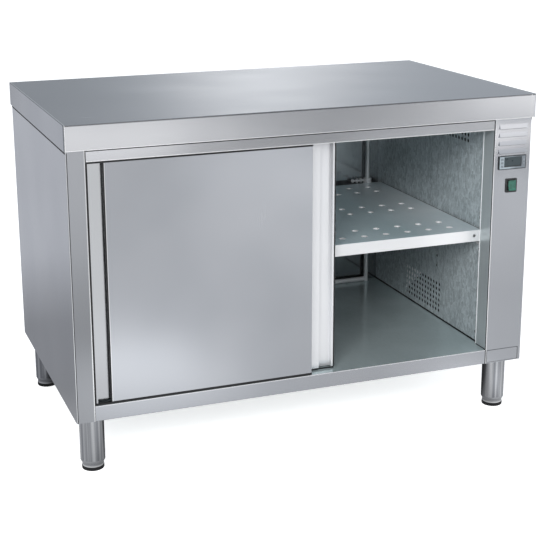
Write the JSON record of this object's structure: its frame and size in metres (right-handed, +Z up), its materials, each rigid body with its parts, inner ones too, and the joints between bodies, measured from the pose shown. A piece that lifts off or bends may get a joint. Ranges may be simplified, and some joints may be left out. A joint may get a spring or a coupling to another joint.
{
  "type": "hot food table",
  "caption": "Stainless heated cupboard table with sliding doors, a perforated shelf, a control column with louvres, controller and rocker switch, on round levelling legs.",
  "frame": {"origin": "on the floor, under the middle of the worktop", "axes": "+X to the right along the front, +Y from the front to the back, +Z up"},
  "size_m": [1.2, 0.7, 0.85],
  "materials": {
    "satin_steel": "satin brushed stainless steel",
    "bright_steel": "bright polished stainless steel",
    "galvanised": "spangled galvanised sheet",
    "board": "bare particle board",
    "mineral_wool": "mineral wool slab",
    "nylon": "natural nylon",
    "black_rubber": "moulded rubber",
    "control_grey": "fine-textured plastic",
    "display_dark": "smoked glossy window",
    "button_grey": "matt rubber-touch plastic",
    "switch_black": "semi-gloss moulded plastic",
    "rocker_green": "translucent green plastic",
    "motor_grey": "laminated and painted steel",
    "heater_dark": "oxidised element sheath",
    "terminal_cream": "ceramic-look moulded plastic",
    "gland_grey": "moulded polyamide",
    "screw_zinc": "zinc plated"
  },
  "bodies": {
    "cabinet": {"worktop": "satin_steel", "worktop_core": "board", "worktop_stiffeners": "galvanised", "left_side_panel": "satin_steel", "right_side_panel": "satin_steel", "back_panel": "satin_steel", "control_column": "satin_steel", "header_fascia": "satin_steel", "floor_pan": "satin_steel", "ceiling_panel": "galvanised", "inner_right_wall": "galvanised", "inner_left_wall": "galvanised", "left_insulation": "mineral_wool", "door_track": "galvanised", "door_guides": "nylon", "door_buffers": "black_rubber", "rear_rods": "bright_steel", "shelf_clips": "bright_steel", "leg_tubes": "satin_steel", "controller_body": "control_grey", "controller_window": "display_dark", "switch_body": "switch_black", "fan_housing": "galvanised", "fan_motor": "motor_grey", "heating_element": "heater_dark", "safety_thermostat": "terminal_cream", "terminal_block": "terminal_cream", "cable_gland": "gland_grey", "panel_screws": "screw_zinc"},
    "left_door": {"left_door_front": "satin_steel", "left_door_back": "satin_steel", "left_door_core": "mineral_wool", "left_door_grip": "bright_steel", "left_door_hangers": "screw_zinc"},
    "left_door_first_wheel": {"left_door_first_wheel": "nylon"},
    "left_door_second_wheel": {"left_door_second_wheel": "nylon"},
    "right_door": {"right_door_front": "satin_steel", "right_door_back": "satin_steel", "right_door_core": "mineral_wool", "right_door_grip": "bright_steel", "right_door_hangers": "screw_zinc"},
    "right_door_first_wheel": {"right_door_first_wheel": "nylon"},
    "right_door_second_wheel": {"right_door_second_wheel": "nylon"},
    "shelf": {"shelf": "bright_steel"},
    "foot_front_left": {"foot_front_left": "satin_steel", "pad_front_left": "black_rubber"},
    "foot_front_right": {"foot_front_right": "satin_steel", "pad_front_right": "black_rubber"},
    "foot_rear_left": {"foot_rear_left": "satin_steel", "pad_rear_left": "black_rubber"},
    "foot_rear_right": {"foot_rear_right": "satin_steel", "pad_rear_right": "black_rubber"},
    "button_left_upper": {"button_left_upper": "button_grey"},
    "button_left_middle": {"button_left_middle": "button_grey"},
    "button_left_lower": {"button_left_lower": "button_grey"},
    "button_right_upper": {"button_right_upper": "button_grey"},
    "button_right_lower": {"button_right_lower": "button_grey"},
    "switch_rocker": {"switch_rocker": "rocker_green"},
    "fan_impeller": {"fan_impeller": "motor_grey"}
  },
  "joints": [
    {"name": "left_door_slide", "type": "slide", "parent": "cabinet", "child": "left_door", "axis": [1, 0, 0], "range_m": [0, 0.42]},
    {"name": "left_door_first_wheel_turn", "type": "hinge", "parent": "left_door", "child": "left_door_first_wheel", "pos_m": [-0.429, -0.3236, 0.7763], "axis": [0, 1, 0], "range_deg": [-6, 2679.8]},
    {"name": "left_door_second_wheel_turn", "type": "hinge", "parent": "left_door", "child": "left_door_second_wheel", "pos_m": [-0.081, -0.3236, 0.7763], "axis": [0, 1, 0], "range_deg": [-6, 2679.8]},
    {"name": "right_door_slide", "type": "slide", "parent": "cabinet", "child": "right_door", "axis": [1, 0, 0], "range_m": [0, 0.42]},
    {"name": "right_door_first_wheel_turn", "type": "hinge", "parent": "right_door", "child": "right_door_first_wheel", "pos_m": [-0.399, -0.2976, 0.7763], "axis": [0, 1, 0], "range_deg": [-6, 2679.8]},
    {"name": "right_door_second_wheel_turn", "type": "hinge", "parent": "right_door", "child": "right_door_second_wheel", "pos_m": [-0.051, -0.2976, 0.7763], "axis": [0, 1, 0], "range_deg": [-6, 2679.8]},
    {"name": "shelf_lift", "type": "slide", "parent": "cabinet", "child": "shelf", "axis": [0, 0, 1], "range_m": [0, 0.04]},
    {"name": "foot_front_left_screw", "type": "slide", "parent": "cabinet", "child": "foot_front_left", "axis": [0, 0, -1], "range_m": [0, 0.03]},
    {"name": "foot_front_right_screw", "type": "slide", "parent": "cabinet", "child": "foot_front_right", "axis": [0, 0, -1], "range_m": [0, 0.03]},
    {"name": "foot_rear_left_screw", "type": "slide", "parent": "cabinet", "child": "foot_rear_left", "axis": [0, 0, -1], "range_m": [0, 0.03]},
    {"name": "foot_rear_right_screw", "type": "slide", "parent": "cabinet", "child": "foot_rear_right", "axis": [0, 0, -1], "range_m": [0, 0.03]},
    {"name": "button_left_upper_press", "type": "slide", "parent": "cabinet", "child": "button_left_upper", "axis": [0, 1, 0], "range_m": [0, 0.0008], "stiffness_N_per_m": 400},
    {"name": "button_left_middle_press", "type": "slide", "parent": "cabinet", "child": "button_left_middle", "axis": [0, 1, 0], "range_m": [0, 0.0008], "stiffness_N_per_m": 400},
    {"name": "button_left_lower_press", "type": "slide", "parent": "cabinet", "child": "button_left_lower", "axis": [0, 1, 0], "range_m": [0, 0.0008], "stiffness_N_per_m": 400},
    {"name": "button_right_upper_press", "type": "slide", "parent": "cabinet", "child": "button_right_upper", "axis": [0, 1, 0], "range_m": [0, 0.0008], "stiffness_N_per_m": 400},
    {"name": "button_right_lower_press", "type": "slide", "parent": "cabinet", "child": "button_right_lower", "axis": [0, 1, 0], "range_m": [0, 0.0008], "stiffness_N_per_m": 400},
    {"name": "switch_rocker_tip", "type": "hinge", "parent": "cabinet", "child": "switch_rocker", "pos_m": [0.544, -0.341, 0.617], "axis": [1, 0, 0], "range_deg": [0, 14]},
    {"name": "fan_spin", "type": "hinge", "parent": "cabinet", "child": "fan_impeller", "pos_m": [0.55585, 0.036, 0.22405], "axis": [0, 1, 0], "continuous": true}
  ],
  "couplings": [
    {"joint": "left_door_first_wheel_turn", "follows": "left_door_slide", "rad_per_m": 111.11},
    {"joint": "left_door_second_wheel_turn", "follows": "left_door_slide", "rad_per_m": 111.11},
    {"joint": "right_door_first_wheel_turn", "follows": "right_door_slide", "rad_per_m": 111.11},
    {"joint": "right_door_second_wheel_turn", "follows": "right_door_slide", "rad_per_m": 111.11}
  ]
}
